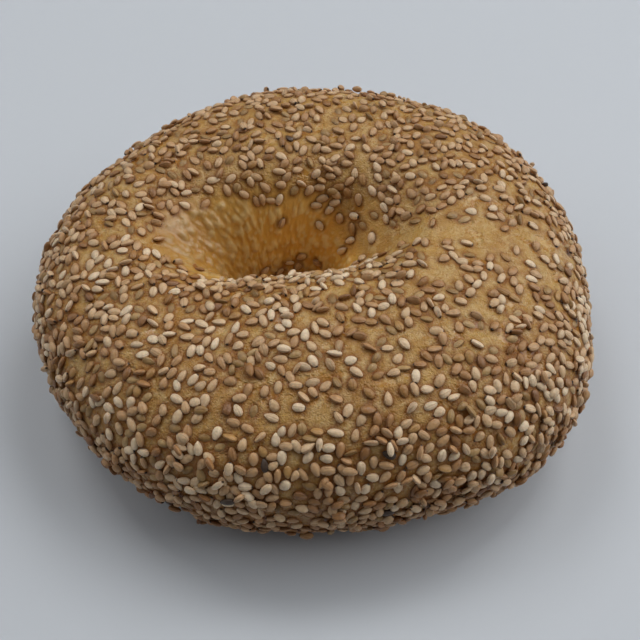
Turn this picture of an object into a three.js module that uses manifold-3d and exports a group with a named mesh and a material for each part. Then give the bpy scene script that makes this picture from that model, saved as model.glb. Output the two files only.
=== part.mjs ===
// A sesame bagel lying on its flat underside: one solid of baked dough, with the
// largest of its sesame seeds fused to the crust.
// Millimetres, +Z up. The origin is on the table, under the middle of the bagel.
// Plan angles are in degrees, from +X (0) towards +Y (90).
import * as THREE from "three";
import { mergeVertices } from "three/addons/utils/BufferGeometryUtils.js";
import Module from "manifold-3d";

const wasm = await Module();
wasm.setup();

// The dough ring in plan: an outer outline, and an oval hole with its own centre.
// A lobe swells an outline "order" times round, by "size", with its peak at "peak".
const OUTER_RADIUS = 60.4;
const OUTER_LOBES = [
  { order: 2, size: 2.1, peak: 9 },
  { order: 3, size: 0.9, peak: -52 },
  { order: 4, size: 0.55, peak: -43 },
  { order: 5, size: 0.8, peak: 34 },
];
const HOLE = { x: -6.4, y: 4.8, halfLong: 10.8, halfShort: 6.4, turned: 20 };
const RING = { x: 1.4, y: -0.4 };

// The ring's height, and the heights of its widest line and of the hole's waist.
const CROWN_HEIGHT = 38.4;
const CROWN_LOBES = [
  { order: 1, size: 1.0, peak: 27 },
  { order: 2, size: 0.9, peak: -68 },
];
const BELLY_HEIGHT = 17;
const WAIST_HEIGHT = 8.2;

// The ends of the rolled dough meet at the right, where the crown dips a little.
const SEAM = { depth: 0.9, at: -5, width: 14 };

// How far the crown and the underside's lowest line lie from waist to outer edge.
const CROWN_PLACE = 0.47;
const CROWN_SKEW = 0.05;
const CROWN_LEFT = { amount: 0.03, at: 180, width: 45 };
const CROWN_RIGHT = { amount: -0.08, at: 0, width: 40 };
const SOLE_PLACE = 0.5;

// Fullness of each quarter of the section: 2 is an ellipse, more is squarer, less is
// a straighter slope. The hole opens gently to the left and the right, and its wall is
// steep at the back.
const OUTER_TOP_FULLNESS = 2.15;
const OUTER_SOLE_FULLNESS = 2.5;
const INNER_SOLE_FULLNESS = 2.4;
const INNER_TOP_FULLNESS = 2.4;
const FUNNEL = { amount: -0.95, at: 185, width: 45 };
const RIGHT_SLOPE = { amount: -1.1, at: -5, width: 48 };
const BACK_WALL = { amount: 1.3, at: 90, width: 50 };

// The dough settles on the tray by this much, which leaves a flat ring to rest on.
const SOLE_SINK = 1.2;

const STEPS_ROUND = 68;
const STEPS_SECTION = 24;

// Sesame seeds: flat teardrops that stand this high, with a root pressed into the crust.
const SEED_LENGTH = 3.2;
const SEED_WIDTH = 2.2;
const SEED_RISE = 0.9;
const SEED_ROOT = 0.35;
const SEED_SIZE_SPREAD = 0.1;
const SEED_TILT = 0.1;
const SEED_SIDES = 6;
const SEED_RINGS = [
  { along: 0.26, wide: 0.66 },
  { along: 0.72, wide: 1.0 },
];
const SEED_SPACING = 7.6;
const SEED_TRIES = 14000;
const SEED_LOWEST = 3.0;
const BARE_MOUTH = { halfLong: 29, halfShort: 13 };
const RANDOM_SEED = 41;

// The most crust that one radian round the ring by one round its section covers.
const LARGEST_STEP = 4420;

const CRUST = new THREE.MeshStandardMaterial({
  color: 0xb48a52,
  roughness: 0.55,
  metalness: 0,
});

function radians(degrees) {
  return THREE.MathUtils.degToRad(degrees);
}

function withLobes(mean, lobes, angle) {
  return lobes.reduce(
    (sum, lobe) => sum + lobe.size * Math.cos(lobe.order * (angle - radians(lobe.peak))),
    mean,
  );
}

// A smooth swelling that is 1 at "at" and fades over "width" to both sides.
function swell(place, angle) {
  const turn = 2 * Math.PI;
  const away = angle - radians(place.at);
  const nearest = away - turn * Math.round(away / turn);
  return Math.exp(-((nearest / radians(place.width)) ** 2));
}

// A number from 0 to 1, the same row of them on each run.
function seededRandom(seed) {
  let state = seed;
  return () => {
    state = (state + 0x6d2b79f5) | 0;
    let mixed = Math.imul(state ^ (state >>> 15), 1 | state);
    mixed = (mixed + Math.imul(mixed ^ (mixed >>> 7), 61 | mixed)) ^ mixed;
    return ((mixed ^ (mixed >>> 14)) >>> 0) / 4294967296;
  };
}

// The distance from the hole's centre to its oval waist.
function waistRadius(angle) {
  const away = angle - radians(HOLE.turned);
  const across = Math.hypot(
    HOLE.halfShort * Math.cos(away),
    HOLE.halfLong * Math.sin(away),
  );
  return (HOLE.halfLong * HOLE.halfShort) / across;
}

// What the section is like at a plan angle.
function sectionAt(angle) {
  const outer = withLobes(OUTER_RADIUS, OUTER_LOBES, angle);
  const waist = waistRadius(angle);
  return {
    outerX: RING.x + outer * Math.cos(angle),
    outerY: RING.y + outer * Math.sin(angle),
    waistX: HOLE.x + waist * Math.cos(angle),
    waistY: HOLE.y + waist * Math.sin(angle),
    crown: withLobes(CROWN_HEIGHT, CROWN_LOBES, angle) - SEAM.depth * swell(SEAM, angle),
    crownPlace:
      CROWN_PLACE +
      CROWN_SKEW * Math.sin(angle) +
      CROWN_LEFT.amount * swell(CROWN_LEFT, angle) +
      CROWN_RIGHT.amount * swell(CROWN_RIGHT, angle),
    innerFullness:
      INNER_TOP_FULLNESS +
      FUNNEL.amount * swell(FUNNEL, angle) +
      RIGHT_SLOPE.amount * swell(RIGHT_SLOPE, angle) +
      BACK_WALL.amount * swell(BACK_WALL, angle),
  };
}

// A point of the crust. "round" goes round the ring, and "turn" round its section,
// from the widest line (0) over the crown and down through the hole.
function crustPoint(round, turn) {
  const section = sectionAt(round);
  const outside = Math.cos(turn) >= 0;
  const above = Math.sin(turn) >= 0;
  let fullness = outside ? OUTER_SOLE_FULLNESS : INNER_SOLE_FULLNESS;
  if (above) {
    fullness = outside ? OUTER_TOP_FULLNESS : section.innerFullness;
  }
  const across = Math.abs(Math.cos(turn)) ** (2 / fullness);
  const up = Math.abs(Math.sin(turn)) ** (2 / fullness);
  const middle = above ? section.crownPlace : SOLE_PLACE;
  const place = outside ? middle + (1 - middle) * across : middle - middle * across;
  const level = outside ? BELLY_HEIGHT : WAIST_HEIGHT;
  const height = above
    ? level + (section.crown - level) * up
    : Math.max(0, level - (level + SOLE_SINK) * up);
  return new THREE.Vector3(
    section.waistX + place * (section.outerX - section.waistX),
    section.waistY + place * (section.outerY - section.waistY),
    height,
  );
}

// The crust's outward direction there, and how much crust one step covers.
function crustSlope(round, turn) {
  const step = 0.01;
  const alongRing = crustPoint(round + step, turn).sub(crustPoint(round - step, turn));
  const alongSection = crustPoint(round, turn + step).sub(crustPoint(round, turn - step));
  const cross = alongRing.cross(alongSection);
  return { area: cross.length() / (2 * step) ** 2, outward: cross.normalize() };
}

function closedGeometry(points, faces) {
  const geometry = new THREE.BufferGeometry();
  geometry.setAttribute(
    "position",
    new THREE.Float32BufferAttribute(points.flatMap((point) => point.toArray()), 3),
  );
  geometry.setIndex(faces.flat());
  return geometry;
}

function toSolid(geometry) {
  const merged = mergeVertices(geometry);
  return new wasm.Manifold(
    new wasm.Mesh({
      numProp: 3,
      vertProperties: new Float32Array(merged.attributes.position.array),
      triVerts: new Uint32Array(merged.index.array),
    }),
  );
}

function fromSolid(solid) {
  const mesh = solid.getMesh();
  const geometry = new THREE.BufferGeometry();
  geometry.setAttribute("position", new THREE.BufferAttribute(mesh.vertProperties, 3));
  geometry.setIndex(new THREE.BufferAttribute(mesh.triVerts, 1));
  geometry.computeVertexNormals();
  return geometry;
}

function doughGeometry() {
  const points = [];
  const faces = [];
  const index = (i, j) => (i % STEPS_ROUND) * STEPS_SECTION + (j % STEPS_SECTION);
  for (let i = 0; i < STEPS_ROUND; i += 1) {
    for (let j = 0; j < STEPS_SECTION; j += 1) {
      const round = (2 * Math.PI * i) / STEPS_ROUND;
      const turn = (2 * Math.PI * j) / STEPS_SECTION;
      points.push(crustPoint(round, turn));
      faces.push([index(i, j), index(i + 1, j), index(i + 1, j + 1)]);
      faces.push([index(i, j), index(i + 1, j + 1), index(i, j + 1)]);
    }
  }
  return closedGeometry(points, faces);
}

// One seed, lying along X with its tip at -X and the crust at height 0.
function seedGeometry() {
  const tip = new THREE.Vector3(-SEED_LENGTH / 2, 0, -SEED_ROOT);
  const blunt = new THREE.Vector3(SEED_LENGTH / 2, 0, -SEED_ROOT);
  const points = [tip, blunt];
  for (const ring of SEED_RINGS) {
    for (let k = 0; k < SEED_SIDES; k += 1) {
      const turn = (2 * Math.PI * k) / SEED_SIDES;
      const thickness = Math.sin(turn) > 0 ? SEED_RISE + SEED_ROOT : SEED_ROOT;
      points.push(
        new THREE.Vector3(
          (ring.along - 0.5) * SEED_LENGTH,
          (ring.wide * SEED_WIDTH * Math.cos(turn)) / 2,
          ring.wide * thickness * Math.sin(turn) - SEED_ROOT,
        ),
      );
    }
  }
  const faces = [];
  const index = (ring, k) => 2 + ring * SEED_SIDES + (k % SEED_SIDES);
  const last = SEED_RINGS.length - 1;
  for (let k = 0; k < SEED_SIDES; k += 1) {
    faces.push([0, index(0, k + 1), index(0, k)]);
    faces.push([1, index(last, k), index(last, k + 1)]);
    for (let ring = 0; ring < last; ring += 1) {
      faces.push([index(ring, k), index(ring, k + 1), index(ring + 1, k + 1)]);
      faces.push([index(ring, k), index(ring + 1, k + 1), index(ring + 1, k)]);
    }
  }
  return closedGeometry(points, faces);
}

// The funnel round the hole and the underside carry no large seeds.
function carriesSeeds(point) {
  const x = (point.x - HOLE.x) / BARE_MOUTH.halfLong;
  const y = (point.y - HOLE.y) / BARE_MOUTH.halfShort;
  return point.z > SEED_LOWEST && Math.hypot(x, y) > 1;
}

// Places spread evenly over the crust: a draw that falls too close to an earlier one
// is passed over, and so is one on a bare stretch.
function seedPlaces() {
  const random = seededRandom(RANDOM_SEED);
  const places = [];
  for (let attempt = 0; attempt < SEED_TRIES; attempt += 1) {
    const round = 2 * Math.PI * random();
    const turn = 2 * Math.PI * random();
    const chance = random();
    const heading = 2 * Math.PI * random();
    const size = 1 + SEED_SIZE_SPREAD * (2 * random() - 1);
    const tilt = SEED_TILT * (2 * random() - 1);
    const point = crustPoint(round, turn);
    const { area, outward } = crustSlope(round, turn);
    const fits = places.every((place) => place.point.distanceTo(point) > SEED_SPACING);
    if (chance * LARGEST_STEP < area && fits && carriesSeeds(point)) {
      places.push({ point, outward, heading, size, tilt });
    }
  }
  return places;
}

function placedSeed({ point, outward, heading, size, tilt }) {
  const up = new THREE.Vector3(0, 0, 1);
  const lean = new THREE.Quaternion().setFromUnitVectors(up, outward);
  const spin = new THREE.Quaternion().setFromAxisAngle(up, heading);
  const nod = new THREE.Quaternion().setFromAxisAngle(new THREE.Vector3(0, 1, 0), tilt);
  const turned = lean.multiply(spin).multiply(nod);
  const matrix = new THREE.Matrix4().compose(point, turned, new THREE.Vector3(size, size, size));
  return toSolid(seedGeometry().applyMatrix4(matrix));
}

function bagel() {
  const dough = toSolid(doughGeometry());
  const seeded = seedPlaces().reduce((solid, place) => solid.add(placedSeed(place)), dough);
  const mesh = new THREE.Mesh(fromSolid(seeded), CRUST);
  mesh.name = "bagel";
  return mesh;
}

const group = new THREE.Group();
group.add(bagel());

export default group;
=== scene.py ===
"""A sesame bagel: the baked crust and its sesame seeds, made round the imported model.

Lengths are in metres in the scene and in millimetres in the named sizes below, which
MM turns to metres. Plan angles are in degrees, from +X towards +Y. The section's own
angle, its turn, is 0 at the widest line, 90 at the crown, 180 at the hole's waist and
270 under the sole.
"""

import itertools
import math
from functools import partial

import bpy
import numpy as np
from bpy.props import FloatProperty, IntProperty, PointerProperty, StringProperty
from mathutils import Matrix, Vector, noise


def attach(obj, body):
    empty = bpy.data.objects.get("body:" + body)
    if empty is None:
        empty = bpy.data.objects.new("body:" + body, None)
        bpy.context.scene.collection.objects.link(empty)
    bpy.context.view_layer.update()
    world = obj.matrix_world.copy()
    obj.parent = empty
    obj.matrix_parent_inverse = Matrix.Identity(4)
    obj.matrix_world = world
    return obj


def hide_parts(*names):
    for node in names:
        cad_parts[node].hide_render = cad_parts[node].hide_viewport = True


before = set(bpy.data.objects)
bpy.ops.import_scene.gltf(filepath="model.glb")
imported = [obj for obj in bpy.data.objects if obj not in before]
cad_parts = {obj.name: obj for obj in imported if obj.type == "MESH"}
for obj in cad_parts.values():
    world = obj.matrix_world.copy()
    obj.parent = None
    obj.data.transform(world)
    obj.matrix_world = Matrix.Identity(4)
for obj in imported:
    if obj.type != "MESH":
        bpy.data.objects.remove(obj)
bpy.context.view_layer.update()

bl_info = {
    "name": "Sesame bagel",
    "version": (1, 0, 0),
    "blender": (4, 5, 0),
    "location": "View3D > Sidebar > Bagel",
    "description": "Makes a seeded bagel crust, its sesame seeds and a plain stage",
    "category": "Add Mesh",
}

NODE = "bagel"
BODY = "root"
MM = 0.001

# The ring's outline and crown are not quite round: order, size in mm, peak in degrees.
OUTER_LOBES = ((2, 2.1, 9), (3, 0.9, -52), (4, 0.55, -43), (5, 0.8, 34))
CROWN_LOBES = ((1, 1.0, 27), (2, 0.9, -68))

# Where the crown lies between waist and outer edge, and how full the section is there.
CROWN_PLACE = 0.47
CROWN_SKEW = 0.05
CROWN_LEFT = (0.03, 180, 45)
CROWN_RIGHT = (-0.08, 0, 40)
SOLE_PLACE = 0.5
OUTER_TOP_FULLNESS = 2.15
OUTER_SOLE_FULLNESS = 2.5
INNER_SOLE_FULLNESS = 2.4
INNER_TOP_FULLNESS = 2.4

# Where the hole's lip is slacker or fuller: amount, plan angle and its width.
FUNNEL = (-0.95, 185, 45)
RIGHT_SLOPE = (-1.1, -5, 48)
BACK_WALL = (1.3, 90, 50)

# The dip where the rope of dough is joined: depth in mm, plan angle and its width.
SEAM = (0.9, -5, 14)

# How far the sole is drawn in, and how far the skin stays off the worktop, in mm.
SOLE_SINK = 1.2
SOLE_GAP = 0.35

# The share of the crust that seeds hide: everywhere, and more or less in patches, each
# its amount, plan angle and its width, turn and its width. The sole has a turn alone.
SEED_COVER = 0.5
SEED_PATCHES = (
    (0.2, 0, 900, 0, 42),
    (-0.45, -4, 11, 80, 60),
    (-0.22, 314, 32, 66, 18),
    (-0.16, 258, 20, 62, 12),
    (0.25, 268, 55, 118, 20),
    (-0.08, 225, 14, 20, 20),
    (-0.25, 15, 30, 138, 14),
)
SEEDS_IN_HOLE = (0.55, 84, 36, 171, 6)
SOLE_SEEDS = (-0.45, 262, 38)
COVER_LIMITS = (0.004, 0.75)
MOST_COVER = 0.8

# The smooth golden slope right of the hole: amount, plan angle, width, turn, width.
GOLDEN_SLOPE = (0.4, 16, 26, 130, 18)

# How far the skin lies below the seeded outline, in mm: everywhere, and more low in front.
SEED_STAND = 0.65
FRONT_TUCK = (0.7, 262, 60, -35, 40)

# The hole's wall is bare between these turns, and the first of them shifts by so many
# degrees near a plan angle, within a width.
BARE_TURN = 137
LAST_TURN = 250
BARE_SHIFTS = ((-32, 185, 38), (13, 18, 26), (20, 270, 45))

# Over how many degrees of turn the seeds, the drawn-in skin and the wall's gold fade.
SEEDS_FADE = 3
SKIN_FADE = 8
WALL_FADE = 30

# The browner left mouth of the hole: amount, plan angle and its width.
FUNNEL_SHADE = (0.58, 185, 38)

# The crust's patterns: size in mm, detail, roughness, distortion.
CRUST_PATTERNS = {
    "smooth spots": (6.0, 4.0, 0.6, 0.0),
    "wrinkles": (1.3, 4.0, 0.65, 1.2),
    "grain": (0.4, 2.0, 0.5, 0.0),
    "tone": (11.0, 4.0, 0.6, 0.0),
    "clouds": (3.0, 4.0, 0.55, 1.2),
    "wall": (4.0, 2.0, 0.5, 0.0),
}

# How seeds differ in length, width and thickness, how far they tilt, in degrees, and
# the share of a seed's length that its tip takes.
SIZE_SPREAD = (0.07, 0.08, 0.12)
SIZE_LIMITS = (0.8, 1.18)
USUAL_LEAN = 10
EDGEWAYS_LEAN = (35, 80)
USUAL_PITCH = 6
TIP_LENGTH = 0.25

# How near a seed may lie to one that it lies on, and how high, in seed sizes.
STACKED_ROOM = (0.35, 0.8)
STACKED_LIFT = 0.7

# How far a seed's middle stays off the worktop, in half its own height.
OFF_WORKTOP = 1.08

# How pale a hull is, from 0 to 1, and what its place adds: painted shade at the back,
# browner low outside, partly the hulls' own colour and partly painted shade, and painted
# light in the hole; less spread where it is browner.
USUAL_TINT = 0.56
PAINTED_SHADE_AT_BACK = -0.16
BROWNER_AND_SHADED_LOW = -0.52
PAINTED_LIGHT_IN_HOLE = 0.3
TINT_CALM = 0.45

# Hull colours that single seeds are drawn from, by kind.
PALE_HULLS = ((0.0, "#A57545"), (0.25, "#C3996B"), (0.65, "#D8B68C"), (1.0, "#ECD4B2"))
TOASTED_HULLS = ((0.0, "#865C38"), (0.5, "#A67846"), (1.0, "#BA9058"))
SUNK_HULLS = ((0.0, "#94703E"), (1.0, "#BC9A68"))
DARK_HULLS = ((0.0, "#3E3026"), (1.0, "#6A5340"))
# Darker hull colour for blotches, and for painted shade along the rim and crease.
HULL_MOTTLE_AND_SHADE = "#784A20"
DARK_TIP = "#33241A"

# The kinds of seed: finish, how pointed, how flat, hulls and the share with a dark tip.
SEED_KINDS = {
    "seeds_plump": ("plump hulled sesame", 0.6, 2.2, PALE_HULLS, 0.5),
    "seeds_flat": ("flat hulled sesame", 0.8, 3.0, PALE_HULLS, 0.55),
    "seeds_toasted": ("toasted sesame", 0.7, 2.2, TOASTED_HULLS, 0.3),
    "seeds_sunk": ("sesame under baked skin", 0.65, 2.0, SUNK_HULLS, 0.1),
    "seeds_dark": ("dark unhulled sesame", 0.8, 2.0, DARK_HULLS, 0.5),
}

# The lamps, square and white: place and size in metres, and power in watts.
LAMPS = {
    "back window right": ((0.3, 0.45, 0.85), 0.35, 2.0),
    "back window left": ((-0.3, 0.45, 0.85), 0.35, 1.85),
    "right wall": ((1.3, 0.3, 1.0), 1.6, 18.5),
    "left wall": ((-1.3, 0.3, 1.0), 1.6, 7.5),
    "front wall": ((0.0, -1.3, 1.2), 1.6, 0.35),
}

# Half the worktop's width in metres, and what the camera looks at, in mm.
WORKTOP_HALF = 2.0
LOOK_AT = (1.6, -9.9, 18.0)

# Points of the crust's grid, round the ring and round its section, and of a seed.
GRID_ROUND = 420
GRID_SECTION = 228
SEED_RINGS = 6
SEED_SIDES = 8

# The crust that a seed can darken with brown and painted contact shade: how far off it is looked for, by
# cells, in mm.
NEAR_REACH = 2.8
NEAR_CELL = 4.0

# Nodes that the trees use often, and how a range fades.
MATH = "ShaderNodeMath"
RANGE = "ShaderNodeMapRange"
ATTRIBUTE = "ShaderNodeAttribute"
SMOOTH = {"interpolation_type": "SMOOTHSTEP"}


def linear(hex_colour):
    """An sRGB hex colour as the four linear numbers that a socket takes."""
    channels = [int(hex_colour[k : k + 2], 16) / 255 for k in (1, 3, 5)]
    return [c / 12.92 if c <= 0.04045 else ((c + 0.055) / 1.055) ** 2.4 for c in channels] + [1]


def add_node(tree, kind, inputs=(), output=0, **settings):
    """Adds a node with its settings, and returns one of its outputs, by name or number.

    The inputs are a tuple in the node's own order, or a dict by name. What comes from
    another node is linked, and anything else is the input's value.
    """
    node = tree.nodes.new(kind)
    for name, value in settings.items():
        setattr(node, name, value)
    pairs = inputs.items() if isinstance(inputs, dict) else enumerate(inputs)
    for name, value in pairs:
        if isinstance(value, bpy.types.NodeSocket):
            tree.links.new(value, node.inputs[name])
        else:
            node.inputs[name].default_value = value
    return node.outputs[output] if node.outputs else None


# ---------------- the dough's form


def with_lobes(mean, lobes, angle):
    """A size that swells and narrows with the plan angle."""
    parts = [size * MM * np.cos(order * (angle - math.radians(peak))) for order, size, peak in lobes]
    return mean + sum(parts)


def swell(angle, at, width):
    """1 at the angle "at", fading to 0 over "width" degrees to both sides."""
    away = angle - math.radians(at)
    nearest = away - 2 * math.pi * np.round(away / (2 * math.pi))
    return np.exp(-((nearest / math.radians(width)) ** 2))


def dough_points(dough, around, turn):
    """Points of the smooth dough, for arrays of plan angles and turns."""
    outer = with_lobes(dough.outer_radius, OUTER_LOBES, around)
    off = around - dough.hole_turned
    waist = dough.hole_half_long * dough.hole_half_short / np.hypot(
        dough.hole_half_short * np.cos(off), dough.hole_half_long * np.sin(off)
    )
    crown = with_lobes(dough.crown_height, CROWN_LOBES, around)
    crown = crown - SEAM[0] * MM * swell(around, *SEAM[1:])
    crown_place = CROWN_PLACE + CROWN_SKEW * np.sin(around)
    for amount, at, width in (CROWN_LEFT, CROWN_RIGHT):
        crown_place = crown_place + amount * swell(around, at, width)
    inner_top = INNER_TOP_FULLNESS
    for amount, at, width in (FUNNEL, RIGHT_SLOPE, BACK_WALL):
        inner_top = inner_top + amount * swell(around, at, width)

    outside = np.cos(turn) >= 0
    above = np.sin(turn) >= 0
    fullness = np.where(
        above,
        np.where(outside, OUTER_TOP_FULLNESS, inner_top),
        np.where(outside, OUTER_SOLE_FULLNESS, INNER_SOLE_FULLNESS),
    )
    across = np.abs(np.cos(turn))
    up = np.abs(np.sin(turn))
    reach = (across**fullness + up**fullness) ** (-1 / fullness)
    across, up = across * reach, up * reach
    middle = np.where(above, crown_place, SOLE_PLACE)
    place = np.where(outside, middle + (1 - middle) * across, middle - middle * across)
    level = np.where(outside, dough.belly_height, dough.waist_height)
    under = np.maximum(SOLE_GAP * MM, level - (level + SOLE_SINK * MM) * up)
    height = np.where(above, level + (crown - level) * up, under)
    waist_x = dough.hole_x + waist * np.cos(around)
    waist_y = dough.hole_y + waist * np.sin(around)
    outer_x = dough.ring_x + outer * np.cos(around)
    outer_y = dough.ring_y + outer * np.sin(around)
    x = waist_x + place * (outer_x - waist_x)
    y = waist_y + place * (outer_y - waist_y)
    return np.stack([x, y, height], axis=-1)


def crust_grid():
    """The plan angle and turn of each point of the crust's grid."""
    around = np.linspace(0, 2 * math.pi, GRID_ROUND, endpoint=False)
    turn = np.linspace(0, 2 * math.pi, GRID_SECTION, endpoint=False)
    return np.meshgrid(around, turn, indexing="ij")


def grid_normals(points):
    """Outward unit vectors of a grid that closes on itself both ways."""
    along = np.roll(points, -1, 0) - np.roll(points, 1, 0)
    across = np.roll(points, -1, 1) - np.roll(points, 1, 1)
    normals = np.cross(along, across)
    return normals / np.linalg.norm(normals, axis=-1, keepdims=True)


def past_bare_edge(around, turn):
    """How many degrees of turn a point lies past the edge of the seeded crust."""
    edge = BARE_TURN + sum(by * swell(around, at, width) for by, at, width in BARE_SHIFTS)
    degrees = np.degrees(turn)
    return np.minimum(degrees - edge, LAST_TURN - degrees)


def seed_cover(around, turn):
    """The share of the crust that seeds hide, from 0 to 1."""
    cover = np.full_like(around, SEED_COVER)
    for amount, at, width, at_turn, turn_width in SEED_PATCHES:
        cover = cover + amount * swell(around, at, width) * swell(turn, at_turn, turn_width)
    amount, at_turn, turn_width = SOLE_SEEDS
    cover = cover * (1 + amount * swell(turn, at_turn, turn_width))
    seeded = 1 / (1 + np.exp(past_bare_edge(around, turn) / SEEDS_FADE))
    amount, at, width, at_turn, turn_width = SEEDS_IN_HOLE
    fallen = amount * swell(around, at, width) * swell(turn, at_turn, turn_width)
    return np.clip(cover * seeded + fallen, *COVER_LIMITS)


def skin_points(dough, around, turn):
    """Points of the skin under the seeds, on a grid of plan angles and turns."""
    points = dough_points(dough, around, turn)
    amount, at, width, at_turn, turn_width = FRONT_TUCK
    depth = SEED_STAND + amount * swell(around, at, width) * swell(turn, at_turn, turn_width)
    seeded = 1 / (1 + np.exp(past_bare_edge(around, turn) / SKIN_FADE))
    above_sole = np.clip((points[..., 2] - MM) / (2 * MM), 0, 1)
    return points - grid_normals(points) * (depth * MM * seeded * above_sole)[..., None]


def wall_share(around, turn):
    """How much of the hole's golden wall a point of the crust is, from 0 to 1."""
    amount, at, width, at_turn, turn_width = GOLDEN_SLOPE
    slope = amount * swell(around, at, width) * swell(turn, at_turn, turn_width)
    return np.clip(0.5 + past_bare_edge(around, turn) / WALL_FADE, slope, 1)


def unroll(points, around):
    """The crust laid flat for streaks: round in plan, and how far down from the crown."""
    steps = np.linalg.norm(np.diff(points, axis=1, prepend=points[:, :1]), axis=-1)
    down = np.cumsum(steps, axis=1)
    crown = GRID_SECTION // 4
    down -= down[:, crown : crown + 1]
    return np.stack([np.cos(around), np.sin(around), down], axis=-1)


def mesh_object(name, points, faces):
    """A new object in the scene with a mesh of these points and faces."""
    mesh = bpy.data.meshes.new(name)
    mesh.from_pydata([tuple(p) for p in points], [], faces)
    mesh.update()
    obj = bpy.data.objects.new(name, mesh)
    bpy.context.scene.collection.objects.link(obj)
    return obj


def set_attribute(mesh, name, values, kind="FLOAT"):
    """Stores one value for each point of a mesh under a name that nodes can read."""
    key = {"FLOAT": "value", "FLOAT_VECTOR": "vector", "QUATERNION": "value"}[kind]
    attribute = mesh.attributes.new(name, kind, "POINT")
    attribute.data.foreach_set(key, np.ascontiguousarray(values, dtype=np.float32).ravel())


def grid_faces(rounds, sections):
    """Four-sided faces, facing outwards, of a grid that closes on itself both ways."""
    i, j = np.meshgrid(np.arange(rounds), np.arange(sections), indexing="ij")
    right, above = (i + 1) % rounds, (j + 1) % sections
    corners = [i * sections + j, right * sections + j, right * sections + above, i * sections + above]
    return np.stack(corners, axis=-1).reshape(-1, 4).tolist()


def apply_nodes(obj, tree, values):
    """Runs a node tree on an object with named inputs, and keeps the plain mesh."""
    modifier = obj.modifiers.new(tree.name, "NODES")
    modifier.node_group = tree
    sockets = {s.name: s.identifier for s in tree.interface.items_tree if s.in_out == "INPUT"}
    for name, value in values.items():
        modifier[sockets[name]] = value
    bpy.context.view_layer.update()
    graph = bpy.context.evaluated_depsgraph_get()
    mesh = bpy.data.meshes.new_from_object(
        obj.evaluated_get(graph), preserve_all_data_layers=True, depsgraph=graph
    )
    obj.modifiers.remove(modifier)
    old = obj.data
    obj.data = mesh
    bpy.data.meshes.remove(old)
    mesh.name = obj.name


def new_geometry_tree(name, inputs):
    """A tree with a geometry in and out and these inputs, and the inputs' sockets.

    Each input is its name, its kind of socket and its default.
    """
    tree = bpy.data.node_groups.new(name, "GeometryNodeTree")
    tree.interface.new_socket("Geometry", in_out="OUTPUT", socket_type="NodeSocketGeometry")
    for label, kind, default in (("Geometry", "Geometry", None), *inputs):
        socket = tree.interface.new_socket(label, in_out="INPUT", socket_type="NodeSocket" + kind)
        if default is not None:
            socket.default_value = default
    return tree, add_node(tree, "NodeGroupInput").node.outputs


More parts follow.
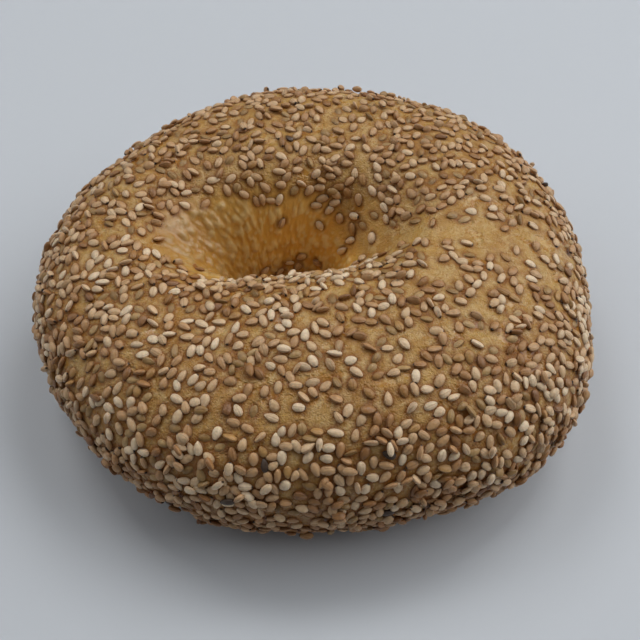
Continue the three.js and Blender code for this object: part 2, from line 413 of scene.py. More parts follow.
def crust_relief_tree():
    """Lifts and sinks the crust along its normals: lumps, dents, blisters and streaks.

    The blisters and streaks lie on the hole's wall, and the streaks are drawn out down
    it. How high they stand is kept in the attributes "blister" and "streak".
    """
    tree, inputs = new_geometry_tree(
        "crust relief",
        (
            ("Lump Size", "Float", 18 * MM),
            ("Lump Height", "Float", 0.8 * MM),
            ("Dent Size", "Float", 5 * MM),
            ("Dent Height", "Float", 0.2 * MM),
            ("Blister Size", "Float", 2.3 * MM),
            ("Small Blister Size", "Float", 1.2 * MM),
            ("Blister Height", "Float", 0.6 * MM),
            ("Streak Size", "Float", 1.2 * MM),
            ("Streak Height", "Float", 0.4 * MM),
            ("Streak Spread", "Vector", (16 * MM, 16 * MM, 0.22)),
            ("Material", "Material", None),
        ),
    )
    add = partial(add_node, tree)
    position = add("GeometryNodeInputPosition")
    normal = add("GeometryNodeInputNormal")
    mark = {}
    for name, kind in (("wall", "FLOAT"), ("funnel", "FLOAT"), ("unrolled", "FLOAT_VECTOR")):
        wanted = {"Name": name}
        mark[name] = add("GeometryNodeInputNamedAttribute", wanted, "Attribute", data_type=kind)

    def swing(vector, size):
        """A cloudy pattern of that size, from -1 to 1."""
        scale = add(MATH, (1.0, inputs[size]), operation="DIVIDE")
        shape = {"Vector": vector, "Scale": scale, "Detail": 2.0}
        pattern = add("ShaderNodeTexNoise", shape)
        return add(MATH, (pattern, 2.0, -1.0), operation="MULTIPLY_ADD")

    wall = add(RANGE, (mark["wall"], 0.35, 0.8), **SMOOTH)
    blister = 0.0
    for size, share in (("Blister Size", 1.0), ("Small Blister Size", 0.7)):
        scale = add(MATH, (1.0, inputs[size]), operation="DIVIDE")
        shape = {"Vector": position, "Scale": scale, "Smoothness": 0.15}
        cells = add("ShaderNodeTexVoronoi", shape, "Distance", feature="SMOOTH_F1")
        dome = add(RANGE, (cells, 0.58, 0.12, 0.0, share), **SMOOTH)
        blister = add(MATH, (blister, dome), operation="MAXIMUM")
    blister = add(MATH, (blister, wall), operation="MULTIPLY")
    spread = (mark["unrolled"], inputs["Streak Spread"])
    drawn_out = add("ShaderNodeVectorMath", spread, operation="MULTIPLY")
    streaky = add(MATH, (mark["funnel"], 0.9, 0.1), operation="MULTIPLY_ADD")
    streak = swing(drawn_out, "Streak Size")
    for share in (wall, streaky):
        streak = add(MATH, (streak, share), operation="MULTIPLY")
    total = 0.0
    for pattern, height in (
        (swing(position, "Lump Size"), "Lump Height"),
        (swing(position, "Dent Size"), "Dent Height"),
        (blister, "Blister Height"),
        (streak, "Streak Height"),
    ):
        total = add(MATH, (pattern, inputs[height], total), operation="MULTIPLY_ADD")
    level = add("ShaderNodeSeparateXYZ", (position,), "Z")
    above_sole = add(RANGE, (level, 0.6 * MM, 4 * MM), **SMOOTH)
    total = add(MATH, (total, above_sole), operation="MULTIPLY")
    along = {"Vector": normal, "Scale": total}
    offset = add("ShaderNodeVectorMath", along, operation="SCALE")
    shape = inputs["Geometry"]
    for name, value in (("blister", blister), ("streak", streak)):
        stored = {"Geometry": shape, "Name": name, "Value": value}
        shape = add("GeometryNodeStoreNamedAttribute", stored, data_type="FLOAT")
    shape = add("GeometryNodeSetPosition", {"Geometry": shape, "Offset": offset})
    shape = add("GeometryNodeSetShadeSmooth", (shape,))
    shape = add("GeometryNodeRealizeInstances", (shape,))
    dressing = {"Geometry": shape, "Material": inputs["Material"]}
    shape = add("GeometryNodeSetMaterial", dressing)
    add("NodeGroupOutput", (shape,))
    return tree


# ---------------- the seeds


def seed_shape(name, pointed, flat):
    """One seed of unit length, width and thickness, its tip at -X and its face up.

    "pointed" narrows the tip, and "flat" squares the faces. The attribute "rim" is 1
    along the edge, "tip" is 1 at the tip, and "side" runs from -1 to 1 across a face.
    """
    rings, sides = SEED_RINGS, SEED_SIDES
    stations = 0.5 - 0.5 * np.cos(math.pi * (np.arange(rings) + 1) / (rings + 1))
    widest = pointed / (pointed + 0.5)
    peak = widest**pointed * (1 - widest) ** 0.5
    rows = [(-0.5, 0.0, 0.0, 1.0, 1.0, 0.0)]
    for s in stations:
        half = 0.5 * s**pointed * (1 - s) ** 0.5 / peak
        thick = half**0.8 * 0.5**0.2
        tip = max(0.0, 1 - s / TIP_LENGTH)
        for k in range(sides):
            angle = 2 * math.pi * (k + 0.5) / sides
            c, z = math.cos(angle), math.sin(angle)
            reach = (abs(c) ** flat + abs(z) ** flat) ** (-1 / flat)
            y = half * c * reach
            rows.append((s - 0.5, y, thick * z * reach, abs(c) * reach, tip, 2 * y))
    rows.append((0.5, 0.0, 0.0, 1.0, 0.0, 0.0))
    faces = []
    last = len(rows) - 1
    for k in range(sides):
        after = (k + 1) % sides
        faces.append((0, 1 + after, 1 + k))
        faces.append((last, last - sides + k, last - sides + after))
        for ring in range(rings - 1):
            low, high = 1 + ring * sides, 1 + (ring + 1) * sides
            faces.append((low + k, low + after, high + after, high + k))
    x, y, z, *marks = np.array(rows).T
    shape = mesh_object(name, np.stack([x, y, z], axis=-1), faces)
    shape.data.shade_smooth()
    for key, values in zip(("rim", "tip", "side"), marks):
        set_attribute(shape.data, key, values)
    shape.hide_render = True
    return shape


def seed_tree():
    """Sets a seed on each point, turned and sized as the point says, and joins them."""
    tree, inputs = new_geometry_tree(
        "sesame seeds",
        (
            ("Seed", "Object", None),
            ("Length", "Float", 3 * MM),
            ("Width", "Float", 2 * MM),
            ("Thickness", "Float", MM),
            ("Material", "Material", None),
        ),
    )
    add = partial(add_node, tree)
    seed = add("GeometryNodeObjectInfo", {"Object": inputs["Seed"]}, "Geometry")
    mark = {}
    for name, kind in (("facing", "QUATERNION"), ("size", "FLOAT_VECTOR")):
        wanted = {"Name": name}
        mark[name] = add("GeometryNodeInputNamedAttribute", wanted, "Attribute", data_type=kind)
    sizes = (inputs["Length"], inputs["Width"], inputs["Thickness"])
    usual = add("ShaderNodeCombineXYZ", sizes)
    scale = add("ShaderNodeVectorMath", (mark["size"], usual), operation="MULTIPLY")
    placing = {"Instance": seed, "Rotation": mark["facing"], "Scale": scale}
    shape = add("GeometryNodeInstanceOnPoints", {"Points": inputs["Geometry"], **placing})
    shape = add("GeometryNodeRealizeInstances", (shape,))
    dressing = {"Geometry": shape, "Material": inputs["Material"]}
    shape = add("GeometryNodeSetMaterial", dressing)
    add("NodeGroupOutput", (shape,))
    return tree


def crust_arrays():
    """The finished crust's grid of points, and their outward directions."""
    mesh = bpy.data.objects["crust"].data
    flat = np.empty(len(mesh.vertices) * 3, dtype=np.float32)
    mesh.vertices.foreach_get("co", flat)
    points = flat.reshape(GRID_ROUND, GRID_SECTION, 3).astype(float)
    return points, grid_normals(points)


def tries_for(cover, closeness):
    """How many random tries per seed's area it takes until seeds hide that cover.

    A try is lost where it would overlap a seed. "free" is the chance of room for one as
    the crust fills up, by the usual series for discs dropped at random, which jam at
    the cover "jammed". Overlap by "closeness" leaves room for more.
    """
    jammed = 0.547
    fill = np.linspace(0, 0.94, 500)
    free = (1 + 0.812 * fill + 0.426 * fill**2 + 0.072 * fill**3) * (1 - fill) ** 3
    spent = jammed * np.cumsum(np.gradient(fill) / free)
    return np.interp(cover * closeness**2, jammed * fill, spent) / closeness**2


def drop_seeds(seeds, cover, rng):
    """Drops more seeds on the crust than have room, at random: a dict of arrays."""
    points, normals = crust_arrays()
    right, above = np.roll(points, -1, 0), np.roll(points, -1, 1)
    area = np.linalg.norm(np.cross(right - points, above - points), axis=-1).ravel()
    footprint = math.pi / 4 * seeds.length * seeds.width
    clumps = [noise.noise(Vector(p) / seeds.clump_size) for p in points.reshape(-1, 3)]
    uneven = 1 + seeds.clumping * np.array(clumps).reshape(cover.shape)
    tries = tries_for(np.clip(cover * uneven, 0, MOST_COVER), seeds.closeness)
    most = tries.max()
    count = int(area.sum() / footprint * most)
    cell = np.searchsorted(np.cumsum(area), rng.random(count) * area.sum())
    cell = np.minimum(cell, area.size - 1)
    cell = cell[rng.random(count) < tries.ravel()[cell] / most]
    count = cell.size
    i, j = np.unravel_index(cell, cover.shape)
    u, v = rng.random((2, count, 1))
    n, m = (i + 1) % GRID_ROUND, (j + 1) % GRID_SECTION

    def between(values):
        low = values[i, j] * (1 - u) + values[n, j] * u
        high = values[i, m] * (1 - u) + values[n, m] * u
        return low * (1 - v) + high * v

    normal = between(normals)
    normal /= np.linalg.norm(normal, axis=1, keepdims=True)
    heading = rng.uniform(0, 2 * math.pi, count)
    size = 1 + rng.normal(0, 1, (count, 3)) * np.array(SIZE_SPREAD)
    size = np.clip(size, *SIZE_LIMITS)
    edgeways = rng.random(count) < seeds.edgeways_share
    lean = rng.normal(0, math.radians(USUAL_LEAN), count)
    steep = rng.uniform(*np.radians(EDGEWAYS_LEAN), count) * rng.choice([-1, 1], count)
    lean = np.where(edgeways, steep, lean)
    pitch = rng.normal(0, math.radians(USUAL_PITCH), count)

    helper = np.where(np.abs(normal[:, 2:]) < 0.9, [[0.0, 0.0, 1.0]], [[1.0, 0.0, 0.0]])
    first = np.cross(helper, normal)
    first /= np.linalg.norm(first, axis=1, keepdims=True)
    second = np.cross(normal, first)
    along = first * np.cos(heading)[:, None] + second * np.sin(heading)[:, None]
    half = size / 2 * np.array([seeds.length, seeds.width, seeds.thickness])
    return {
        "place": between(points),
        "normal": normal,
        "along": along,
        "beside": np.cross(normal, along),
        "lean": lean,
        "pitch": pitch,
        "size": size,
        "half": half,
        "foot": np.hypot(half[:, 1] * np.cos(lean), half[:, 2] * np.sin(lean)),
    }


def keep_apart(seeds, dropped, luck):
    """Which dropped seeds find room, taken in order, and how high each lies on others."""
    place, half, foot = dropped["place"], dropped["half"], dropped["foot"]
    along, beside = dropped["along"], dropped["beside"]
    homes = np.floor(place / (SIZE_LIMITS[1] * seeds.length)).astype(int)
    steps = list(itertools.product((-1, 0, 1), repeat=3))
    cells, chosen, raised = {}, [], []
    for k, (x, y, z) in enumerate(homes):
        near = [q for a, b, c in steps for q in cells.get((x + a, y + b, z + c), ())]
        on_top = False
        if near:
            gap = place[near] - place[k]
            distance = np.sqrt((gap**2).sum(1)) + 1e-9
            gap /= distance[:, None]
            own = 1 / np.hypot(gap @ along[k] / half[k, 0], gap @ beside[k] / foot[k])
            their_length = (gap * along[near]).sum(1) / half[near, 0]
            their_width = (gap * beside[near]).sum(1) / foot[near]
            room = (distance / (own + 1 / np.hypot(their_length, their_width))).min()
            on_top = STACKED_ROOM[0] < room < STACKED_ROOM[1] and luck[k] < seeds.stacked_share
            if room < seeds.closeness and not on_top:
                continue
        chosen.append(k)
        raised.append(STACKED_LIFT * seeds.thickness if on_top else 0.0)
        cells.setdefault((x, y, z), []).append(k)
    return np.array(chosen), np.array(raised)


def scatter(seeds, cover):
    """Lays seeds that hardly overlap on the crust: a dict of arrays, with random draws."""
    rng = np.random.default_rng(seeds.random_seed)
    dropped = drop_seeds(seeds, cover, rng)
    chosen, raised = keep_apart(seeds, dropped, rng.random(len(dropped["place"])))
    laid = {key: values[chosen] for key, values in dropped.items()}
    return {**laid, "raised": raised, "draw": rng.random((chosen.size, 4))}


def quaternions(axes):
    """Rotations, as w, x, y, z rows, that take X, Y and Z to each three unit vectors."""
    return np.array([tuple(Matrix(three).transposed().to_quaternion()) for three in axes])


def seat_seeds(laid, sink):
    """Where each seed's middle goes and how it is turned, pressed "sink" into the crust."""
    along, beside, normal = laid["along"], laid["beside"], laid["normal"]
    cos_l, sin_l = np.cos(laid["lean"])[:, None], np.sin(laid["lean"])[:, None]
    side = cos_l * beside + sin_l * normal
    top = cos_l * normal - sin_l * beside
    cos_p, sin_p = np.cos(laid["pitch"])[:, None], np.sin(laid["pitch"])[:, None]
    front = cos_p * along + sin_p * top
    top = cos_p * top - sin_p * along
    axes = np.stack([front, side, top], axis=1)

    def half_across(direction):
        """Half of each seed's height, measured along these directions."""
        shares = np.sum(axes * direction, axis=2)
        return np.sqrt(np.sum((laid["half"] * shares) ** 2, axis=1))

    stands = half_across(normal[:, None]) - sink + laid["raised"]
    middle = laid["place"] + normal * stands[:, None]
    middle[:, 2] = np.maximum(middle[:, 2], OFF_WORKTOP * half_across(np.array([0, 0, 1])))
    return middle, quaternions(axes)


def sort_into_cells(points, step):
    """The points' numbers by the cube, "step" wide, that they lie in."""
    keys = np.floor(points / step).astype(int)
    order = np.lexsort(keys.T)
    starts = np.flatnonzero(np.any(np.diff(keys[order], axis=0), axis=1)) + 1
    return {tuple(keys[group[0]]): group for group in np.split(order, starts)}


def shade_near_seeds(laid, reach):
    """Marks the crust's points by how close to a seed's edge they lie, 1 under a seed: there the crust
    is browned and given painted contact shade.
    """
    points = crust_arrays()[0].reshape(-1, 3)
    step = NEAR_CELL * MM
    cells = sort_into_cells(points, step)
    shade = np.zeros(len(points))
    for p, along, beside, half, foot in zip(
        laid["place"], laid["along"], laid["beside"], laid["half"], laid["foot"]
    ):
        low = np.floor((p - NEAR_REACH * MM) / step).astype(int)
        high = np.floor((p + NEAR_REACH * MM) / step).astype(int)
        spans = [range(a, b + 1) for a, b in zip(low, high)]
        found = [cells[cube] for cube in itertools.product(*spans) if cube in cells]
        if not found:
            continue
        index = np.concatenate(found)
        gap = points[index] - p
        level = np.hypot(gap @ along / half[0], gap @ beside / foot)
        distance = np.linalg.norm(gap, axis=1)
        beyond = np.maximum(0.0, distance * (1 - 1 / np.maximum(level, 1e-6)))
        shade[index] = np.maximum(shade[index], np.exp(-((beyond / reach) ** 2)))
    return shade


def hull_tints(place, draw):
    """How pale each hull is: darker at the back as painted shade, browner low outside,
    partly own colour and partly painted shade, and paler in the hole as painted light.
    """
    x, y, z = place.T
    off_middle = np.hypot(x, y)
    back = np.clip(y / (40 * MM) + 0.2, 0, 1)
    low = np.clip((24 * MM - z) / (16 * MM), 0, 1) * (off_middle > 40 * MM)
    in_hole = np.clip((20 * MM - off_middle) / (4 * MM), 0, 1)
    by_place = PAINTED_SHADE_AT_BACK * back + BROWNER_AND_SHADED_LOW * low + PAINTED_LIGHT_IN_HOLE * in_hole
    spread = 1 - TINT_CALM * np.maximum(back, low)
    return np.clip(USUAL_TINT + by_place + spread * (draw - 0.5), 0, 1)


def sort_kinds(seeds, draw):
    """Which of the seeds are of each kind, by piece, from their random draws."""
    dark = draw[:, 0] < seeds.dark_share
    toasted = ~dark & (draw[:, 0] < seeds.dark_share + seeds.toasted_share)
    sunk = ~dark & ~toasted & (draw[:, 0] > 1 - seeds.sunk_share)
    pale = ~(dark | toasted | sunk)
    plump = pale & (draw[:, 1] < 0.5)
    return {
        "seeds_plump": plump,
        "seeds_flat": pale & ~plump,
        "seeds_toasted": toasted,
        "seeds_sunk": sunk,
        "seeds_dark": dark,
    }


# ---------------- finishes


def new_material(name):
    """A material with an empty node tree, and the tree."""
    material = bpy.data.materials.new(name)
    material.use_nodes = True
    material.node_tree.nodes.clear()
    return material, material.node_tree


def paint(tree, colour, *coats):
    """Lays coats over a colour: each is a share, from 0 to 1, and its own colour."""
    for share, coat in coats:
        layers = {"Factor": share, "A": colour, "B": coat}
        colour = add_node(tree, "ShaderNodeMix", layers, "Result", data_type="RGBA")
    return colour


def set_surface(tree, inputs):
    """Gives a material's tree its one surface, with these inputs."""
    surface = add_node(tree, "ShaderNodeBsdfPrincipled", inputs)
    add_node(tree, "ShaderNodeOutputMaterial", {"Surface": surface})


def crust_colour(tree, look, mark, pattern, where, height, smooth_skin):
    """Tan crust, amber hole and brown rims round the seeds, in one colour, with painted shade
    round the seeds' feet, in the wrinkles' hollows and deep in the hole, partly painted
    shade low on the flank, and painted highlights on the ridges and the wall's blisters.
    """
    add = partial(add_node, tree)
    level = add("ShaderNodeSeparateXYZ", (where,), "Z")
    depth = add("ShaderNodeSeparateXYZ", (where,), "Y")

    deep_tan = add(RANGE, (pattern["tone"], 0.38, 0.6), **SMOOTH)
    # Painted shade in the hollows of the wrinkles.
    painted_hollow_shade = add(RANGE, (height, 0.66, 0.5, 0.0, 0.35), **SMOOTH)
    # Pale bloom in cloudy patches, kept to the wrinkles' ridges as a painted highlight.
    cloud = add(RANGE, (pattern["clouds"], 0.4, 0.64), **SMOOTH)
    ridge = add(RANGE, (height, 0.5, 0.8, 0.15, 0.95), **SMOOTH)
    bloom_and_highlight = add(MATH, (cloud, ridge), operation="MULTIPLY")
    # Browner low on the flank: partly the crust's own baked colour, partly painted shade.
    flank = add(RANGE, (level, 30 * MM, 10 * MM, 0.0, 0.7), **SMOOTH)
    crust = paint(
        tree,
        linear(look.tan),
        (deep_tan, linear(look.tan_deep)),
        (smooth_skin, linear(look.amber)),
        (painted_hollow_shade, linear(look.halo)),
        (bloom_and_highlight, linear(look.bloom_and_highlight)),
        (flank, linear(look.flank)),
    )

    # Painted highlight on the raised blisters and streaks of the wall.
    streaks = add(RANGE, (mark["streak"], 0.0, 0.5, 0.0, 0.7), **SMOOTH)
    raised = add(MATH, (mark["blister"], streaks), operation="ADD")
    pale = add(RANGE, (raised, 0.05, 0.7, 0.0, 0.9), **SMOOTH)
    mouth = add(MATH, (mark["funnel"], FUNNEL_SHADE[0]), operation="MULTIPLY")
    # Painted shade deep down in the hole.
    painted_deep_shade = add(RANGE, (level, 18 * MM, 3 * MM, 0.0, 0.35), **SMOOTH)
    wall = paint(
        tree,
        linear(look.wall_amber),
        (pattern["wall"], linear(look.wall_gold)),
        (pale, linear(look.wall_highlight)),
        (mouth, linear(look.flank)),
        (painted_deep_shade, linear(look.halo)),
    )

    on_wall = add(RANGE, (mark["wall"], 0.1, 0.7), **SMOOTH)
    # Brown drawn up round the seeds, with painted contact shade round their feet; a little less towards
    # the back.
    fading = (depth, -10 * MM, 40 * MM, look.seed_brown_and_shade_strength, 0.8 * look.seed_brown_and_shade_strength)
    strength = add(RANGE, fading, **SMOOTH)
    near_seed_brown_and_shade = add(MATH, (mark["halo"], strength), operation="MULTIPLY")
    return paint(tree, crust, (on_wall, wall), (near_seed_brown_and_shade, linear(look.halo)))


def baked_crust_material(look):
    """Boiled and baked wheat crust: a thin gelatinised skin, satin and finely wrinkled.

    Tan, amber and glossier where the skin is smooth, paler on its ridges with bloom and a
    painted highlight, painted shade in its hollows, browner low on the flank, partly
    baked colour and partly painted shade, browner where it is drawn up round the seeds
    with painted shade round their feet, and golden on the hole's blistered wall, with a
    painted highlight on its blisters and painted shade deep down.
    """
    material, tree = new_material("baked wheat crust")
    add = partial(add_node, tree)
    where = add("ShaderNodeTexCoord", output="Object")
    mark = {}
    for name in ("wall", "halo", "blister", "streak", "funnel"):
        mark[name] = add(ATTRIBUTE, output="Fac", attribute_name=name)
    pattern = {}
    for name, (size, detail, roughness, distortion) in CRUST_PATTERNS.items():
        shape = {"Detail": detail, "Roughness": roughness, "Distortion": distortion}
        shape.update({"Vector": where, "Scale": 1 / (size * MM)})
        pattern[name] = add("ShaderNodeTexNoise", shape)
    smooth_skin = add(RANGE, (pattern["smooth spots"], 0.54, 0.64), **SMOOTH)
    both = (pattern["grain"], 0.45, pattern["wrinkles"])
    height = add(MATH, both, operation="MULTIPLY_ADD")

    wall = add(RANGE, (mark["wall"], 0.2, 0.8), **SMOOTH)
    calm = add(MATH, (smooth_skin, wall), operation="MAXIMUM")
    left = add(MATH, (calm, -0.8, 1.0), operation="MULTIPLY_ADD")
    relief = add(MATH, (height, left), operation="MULTIPLY")
    folds = {"Height": relief, "Distance": look.wrinkle_height}
    wrinkled = add("ShaderNodeBump", folds)
    glossy = add(MATH, (smooth_skin, mark["wall"]), operation="MAXIMUM")
    roughness = add(RANGE, (glossy, 0.0, 1.0, 0.42, 0.32), **SMOOTH)
    glaze = add(RANGE, (mark["halo"], 0.0, 0.8, 0.45, 0.0), **SMOOTH)
    set_surface(
        tree,
        {
            "Base Color": crust_colour(tree, look, mark, pattern, where, height, smooth_skin),
            "Roughness": roughness,
            "Normal": wrinkled,
            "IOR": 1.45,
            "Subsurface Weight": 0.35,
            "Subsurface Radius": (0.9 * MM, 0.6 * MM, 0.3 * MM),
            "Subsurface Scale": 1.0,
            "Coat Weight": glaze,
            "Coat Roughness": 0.14,
            "Coat Normal": wrinkled,
        },
    )
    return material


def sesame_material(name, stops, dark_tips):
    """Sesame: a matt waxy hull, blotched, darker along its rim, partly as its own edge line and
    partly as painted shade, with painted shade along a crease on some and a dark tip on some.

    The stops, each a tint and its colour, are what the single hulls are drawn from.
    """
    material, tree = new_material(name)
    add = partial(add_node, tree)
    where = add("ShaderNodeTexCoord", output="Object")
    mark = {}
    for key in ("tint", "speck", "rim", "side", "tip"):
        mark[key] = add(ATTRIBUTE, output="Fac", attribute_name=key)
    hull = add("ShaderNodeValToRGB", (mark["tint"],))
    elements = hull.node.color_ramp.elements
    while len(elements) < len(stops):
        elements.new(0.5)
    for element, (tint, hex_colour) in zip(elements, stops):
        element.position = tint
        element.color = linear(hex_colour)
    shading = {"Factor": 0.75, "A": hull, "B": linear(HULL_MOTTLE_AND_SHADE)}
    hull_mottle_and_shade = add("ShaderNodeMix", shading, "Result", data_type="RGBA", blend_type="MULTIPLY")

    blotches = add("ShaderNodeTexNoise", {"Vector": where, "Scale": 1 / (0.9 * MM)})
    mottle = add(RANGE, (blotches, 0.35, 0.75, 0.0, 0.3), **SMOOTH)
    # Darker along the rim: partly the hull's own edge line, partly painted shade where it turns away.
    rim = add(RANGE, (mark["rim"], 0.7, 1.0, 0.0, 0.5), **SMOOTH)
    # Painted shade along the crease of some seeds.
    off_middle = add(MATH, (mark["side"],), operation="ABSOLUTE")
    line = add(RANGE, (off_middle, 0.25, 0.0, 0.0, 0.3), **SMOOTH)
    luck = add(MATH, (mark["speck"], 7.0), operation="MULTIPLY")
    luck = add(MATH, (luck,), operation="FRACT")
    creased = add(MATH, (luck, 0.2), operation="LESS_THAN")
    crease = add(MATH, (line, creased), operation="MULTIPLY")
    at_tip = add(RANGE, (mark["tip"], 0.45, 0.85), **SMOOTH)
    tipped = add(MATH, (mark["speck"], 1 - dark_tips), operation="GREATER_THAN")
    tip = add(MATH, (tipped, at_tip), operation="MULTIPLY")
    colour = paint(tree, hull, (mottle, hull_mottle_and_shade), (rim, hull_mottle_and_shade), (crease, hull_mottle_and_shade), (tip, linear(DARK_TIP)))

    edge = add(RANGE, (mark["rim"], 0.55, 0.8), **SMOOTH)
    ridge = add(MATH, (crease, -1.0, edge), operation="MULTIPLY_ADD")
    grain = {"Vector": where, "Scale": 1 / (0.5 * MM), "Detail": 3.0}
    rough = add("ShaderNodeTexNoise", grain)
    uneven = add(MATH, (rough, 1.2, ridge), operation="MULTIPLY_ADD")
    relief = {"Height": uneven, "Strength": 0.8, "Distance": 0.12 * MM}
    set_surface(
        tree,
        {
            "Base Color": colour,
            "Roughness": 0.38,
            "IOR": 1.45,
            "Normal": add("ShaderNodeBump", relief),
            "Subsurface Weight": 0.2,
            "Subsurface Radius": (0.8 * MM, 0.5 * MM, 0.3 * MM),
            "Subsurface Scale": 1.0,
        },
    )
    return material


def worktop_material(colour):
    """Honed stone worktop: pale, matt, with no figure."""
    material, tree = new_material("honed pale worktop")
    set_surface(tree, {"Base Color": linear(colour), "Roughness": 0.55})
    return material


# ---------------- settings


class DoughSettings(bpy.types.PropertyGroup):
    outer_radius: FloatProperty(
        name="Outer radius", description="Mean plan radius of the ring", default=60.4 * MM, unit="LENGTH"
    )
    hole_half_long: FloatProperty(
        name="Hole half length",
        description="Half the waist's longer way",
        default=10.8 * MM,
        unit="LENGTH",
    )
    hole_half_short: FloatProperty(
        name="Hole half width",
        description="Half the waist's shorter way",
        default=6.4 * MM,
        unit="LENGTH",
    )
    hole_turned: FloatProperty(
        name="Hole turned",
        description="How far the oval hole is turned in plan",
        default=math.radians(20),
        subtype="ANGLE",
    )
    hole_x: FloatProperty(
        name="Hole X", description="Where the hole's middle lies", default=-6.4 * MM, unit="LENGTH"
    )
    hole_y: FloatProperty(
        name="Hole Y", description="Where the hole's middle lies", default=4.8 * MM, unit="LENGTH"
    )
    ring_x: FloatProperty(
        name="Ring X",
        description="Where the outer outline's middle lies",
        default=1.4 * MM,
        unit="LENGTH",
    )
    ring_y: FloatProperty(
        name="Ring Y",
        description="Where the outer outline's middle lies",
        default=-0.4 * MM,
        unit="LENGTH",
    )
    crown_height: FloatProperty(
        name="Crown height", description="Mean height of the crust", default=38.4 * MM, unit="LENGTH"
    )
    belly_height: FloatProperty(
        name="Belly height", description="Height of the widest line", default=17 * MM, unit="LENGTH"
    )
    waist_height: FloatProperty(
        name="Waist height",
        description="Height of the hole's narrowest line",
        default=8.2 * MM,
        unit="LENGTH",
    )


class CrustLook(bpy.types.PropertyGroup):
    lump_height: FloatProperty(
        name="Lump height", description="How uneven the crust is", default=0.8 * MM, unit="LENGTH"
    )
    blister_size: FloatProperty(
        name="Blister size", description="Size of the wall's blisters", default=2.3 * MM, unit="LENGTH"
    )
    blister_height: FloatProperty(
        name="Blister height",
        description="Height of the wall's blisters",
        default=0.6 * MM,
        unit="LENGTH",
    )
    wrinkle_height: FloatProperty(
        name="Wrinkle height",
        description="Height of the skin's wrinkles",
        default=0.5 * MM,
        unit="LENGTH",
    )
    tan: StringProperty(name="Tan", description="Main crust colour", default="#C3984C")
    tan_deep: StringProperty(name="Deep tan", description="Browner parts", default="#B38236")
    amber: StringProperty(name="Amber", description="Smooth spots", default="#B07A20")
    # Pale bloom, also the painted highlight on the wrinkles' ridges.
    bloom_and_highlight: StringProperty(name="Bloom", description="Pale starchy bloom", default="#CCA86C")
    # Low on the flank: baked brown, and painted shade.
    flank: StringProperty(name="Flank", description="Low on the side", default="#7C4A14")
    # Painted highlight on the wall's blisters.
    wall_highlight: StringProperty(name="Wall pale", description="Wall blisters", default="#E6C684")
    wall_gold: StringProperty(name="Wall gold", description="Hole's wall", default="#E8BA5E")
    wall_amber: StringProperty(name="Wall amber", description="Hole's wall", default="#DCA44C")
    # Brown round the seeds, and the colour of painted shade round their feet, in the wrinkles' hollows
    # and deep in the hole.
    halo: StringProperty(name="Halo", description="Crust round seeds", default="#84490E")
    seed_brown_and_shade_strength: FloatProperty(
        name="Halo strength", description="How much seeds darken the crust", default=0.82, min=0, max=1
    )
    seed_brown_and_shade_reach: FloatProperty(
        name="Halo reach", description="How far seeds darken the crust", default=0.45 * MM, unit="LENGTH"
    )


class SeedSettings(bpy.types.PropertyGroup):
    length: FloatProperty(
        name="Length", description="Usual seed length", default=2.72 * MM, unit="LENGTH"
    )
    width: FloatProperty(
        name="Width", description="Usual seed width", default=1.72 * MM, unit="LENGTH"
    )
    thickness: FloatProperty(
        name="Thickness", description="Usual seed thickness", default=1.06 * MM, unit="LENGTH"
    )
    sink: FloatProperty(
        name="Sink", description="How far seeds are pressed in", default=0.4 * MM, unit="LENGTH"
    )
    sunk_depth: FloatProperty(
        name="Sunk depth",
        description="How far the sunk kind is pressed in",
        default=0.7 * MM,
        unit="LENGTH",
    )
    closeness: FloatProperty(
        name="Closeness", description="1 keeps seeds apart, less lets them overlap", default=0.84
    )
    edgeways_share: FloatProperty(
        name="Edgeways share", description="Share of seeds that lie on edge", default=0.16
    )
    stacked_share: FloatProperty(
        name="Stacked share", description="Chance that a blocked seed lies on others", default=0.012
    )
    clump_size: FloatProperty(
        name="Clump size", description="Size of thick and thin patches", default=7 * MM, unit="LENGTH"
    )
    clumping: FloatProperty(
        name="Clumping", description="How patchy the seeds lie", default=0.45
    )
    toasted_share: FloatProperty(
        name="Toasted share", description="Share of golden brown seeds", default=0.1
    )
    sunk_share: FloatProperty(
        name="Sunk share", description="Share of seeds under the crust's skin", default=0.14
    )
    dark_share: FloatProperty(
        name="Dark share", description="Share of dark seeds", default=0.003
    )
    random_seed: IntProperty(name="Random seed", description="Draws the places", default=11)


class StageSettings(bpy.types.PropertyGroup):
    floor: StringProperty(name="Floor", description="Worktop colour", default="#C9CED4")
    sky: StringProperty(name="Sky", description="Colour of the daylight", default="#DDE3EA")
    sky_strength: FloatProperty(
        name="Sky strength", description="Brightness of the daylight", default=0.1, min=0
    )
    camera_elevation: FloatProperty(
        name="Camera elevation",
        description="Angle above the worktop",
        default=math.radians(52),
        subtype="ANGLE",
    )
    camera_distance: FloatProperty(
        name="Camera distance", description="From what it looks at", default=190 * MM, unit="LENGTH"
    )
    lens: FloatProperty(name="Lens", description="Focal length in mm", default=48.4)


# ---------------- operators


class BAGEL_OT_crust(bpy.types.Operator):
    """Bakes the crust: the ring of dough with its lumps, dents and blisters"""

    bl_idname = "bagel.crust"
    bl_label = "Crust"

    def execute(self, context):
        scene = context.scene
        around, turn = crust_grid()
        points = skin_points(scene.bagel_dough, around, turn)
        faces = grid_faces(GRID_ROUND, GRID_SECTION)
        crust = mesh_object("crust", points.reshape(-1, 3), faces)
        set_attribute(crust.data, "wall", wall_share(around, turn))
        set_attribute(crust.data, "funnel", swell(around, *FUNNEL_SHADE[1:]))
        set_attribute(crust.data, "unrolled", unroll(points, around), "FLOAT_VECTOR")
        look = scene.bagel_crust
        apply_nodes(
            crust,
            crust_relief_tree(),
            {
                "Lump Height": look.lump_height,
                "Blister Size": look.blister_size,
                "Blister Height": look.blister_height,
                "Material": baked_crust_material(look),
            },
        )
        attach(crust, BODY)
        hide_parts(NODE)
        return {"FINISHED"}


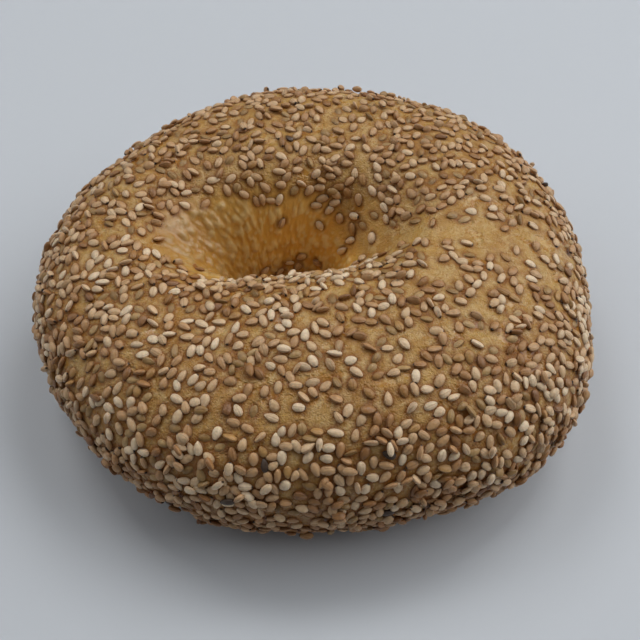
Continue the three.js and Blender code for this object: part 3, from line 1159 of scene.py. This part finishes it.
class BAGEL_OT_seeds(bpy.types.Operator):
    """Scatters the sesame seeds over the crust, one piece for each kind"""

    bl_idname = "bagel.seeds"
    bl_label = "Sesame seeds"

    def execute(self, context):
        seeds = context.scene.bagel_seeds
        laid = scatter(seeds, seed_cover(*crust_grid()))
        kinds = sort_kinds(seeds, laid["draw"])
        tree = seed_tree()
        for name, (finish, pointed, flat, hulls, dark_tips) in SEED_KINDS.items():
            mine = {key: values[kinds[name]] for key, values in laid.items()}
            sink = seeds.sunk_depth if name == "seeds_sunk" else seeds.sink
            middle, facing = seat_seeds(mine, sink)
            piece = mesh_object(name, middle, [])
            set_attribute(piece.data, "facing", facing, "QUATERNION")
            set_attribute(piece.data, "size", mine["size"], "FLOAT_VECTOR")
            set_attribute(piece.data, "tint", hull_tints(mine["place"], mine["draw"][:, 2]))
            set_attribute(piece.data, "speck", mine["draw"][:, 3])
            shape = seed_shape(name + "_shape", pointed, flat)
            apply_nodes(
                piece,
                tree,
                {
                    "Seed": shape,
                    "Length": seeds.length,
                    "Width": seeds.width,
                    "Thickness": seeds.thickness,
                    "Material": sesame_material(finish, hulls, dark_tips),
                },
            )
            bpy.data.objects.remove(shape)
            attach(piece, BODY)
            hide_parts(NODE)
        crust = bpy.data.objects["crust"]
        # The crust browned, with painted contact shade, round the seeds.
        halo = shade_near_seeds(laid, context.scene.bagel_crust.seed_brown_and_shade_reach)
        set_attribute(crust.data, "halo", halo)
        return {"FINISHED"}


class BAGEL_OT_stage(bpy.types.Operator):
    """Sets the worktop, the soft light and the camera"""

    bl_idname = "bagel.stage"
    bl_label = "Stage"

    def execute(self, context):
        scene = context.scene
        stage = scene.bagel_stage
        half = WORKTOP_HALF
        corners = [(-half, -half, 0), (half, -half, 0), (half, half, 0), (-half, half, 0)]
        floor = mesh_object("worktop", corners, [(0, 1, 2, 3)])
        floor.data.materials.append(worktop_material(stage.floor))
        for name, (place, size, power) in LAMPS.items():
            data = bpy.data.lights.new(name, "AREA")
            data.shape = "SQUARE"
            data.size = size
            data.energy = power
            lamp = bpy.data.objects.new(name, data)
            lamp.location = place
            lamp.rotation_euler = Vector(place).to_track_quat("Z", "Y").to_euler()
            scene.collection.objects.link(lamp)
        world = bpy.data.worlds.new("soft daylight")
        world.use_nodes = True
        background = world.node_tree.nodes["Background"]
        background.inputs["Color"].default_value = linear(stage.sky)
        background.inputs["Strength"].default_value = stage.sky_strength
        scene.world = world
        scene.view_settings.view_transform = "Standard"

        lift = stage.camera_elevation
        away = Vector((0, -math.cos(lift), math.sin(lift)))
        data = bpy.data.cameras.new("camera")
        data.lens = stage.lens
        data.clip_start = 0.01
        camera = bpy.data.objects.new("camera", data)
        camera.location = Vector(LOOK_AT) * MM + away * stage.camera_distance
        camera.rotation_euler = (math.pi / 2 - lift, 0, 0)
        scene.collection.objects.link(camera)
        scene.camera = camera
        return {"FINISHED"}


class BAGEL_PT_panel(bpy.types.Panel):
    bl_idname = "BAGEL_PT_panel"
    bl_label = "Sesame bagel"
    bl_space_type = "VIEW_3D"
    bl_region_type = "UI"
    bl_category = "Bagel"

    def draw(self, context):
        for operator, settings in (
            (BAGEL_OT_crust, ("bagel_dough", "bagel_crust")),
            (BAGEL_OT_seeds, ("bagel_seeds",)),
            (BAGEL_OT_stage, ("bagel_stage",)),
        ):
            box = self.layout.box()
            box.operator(operator.bl_idname)
            for group in settings:
                for name in SETTINGS[group].__annotations__:
                    box.prop(getattr(context.scene, group), name)


SETTINGS = {
    "bagel_dough": DoughSettings,
    "bagel_crust": CrustLook,
    "bagel_seeds": SeedSettings,
    "bagel_stage": StageSettings,
}
CLASSES = (*SETTINGS.values(), BAGEL_OT_crust, BAGEL_OT_seeds, BAGEL_OT_stage, BAGEL_PT_panel)


def register():
    for cls in CLASSES:
        bpy.utils.register_class(cls)
    for name, cls in SETTINGS.items():
        setattr(bpy.types.Scene, name, PointerProperty(type=cls))


def unregister():
    for name in SETTINGS:
        delattr(bpy.types.Scene, name)
    for cls in reversed(CLASSES):
        bpy.utils.unregister_class(cls)


def main():
    register()
    bpy.ops.bagel.crust()
    bpy.ops.bagel.seeds()
    bpy.ops.bagel.stage()


if __name__ == "__main__":
    main()
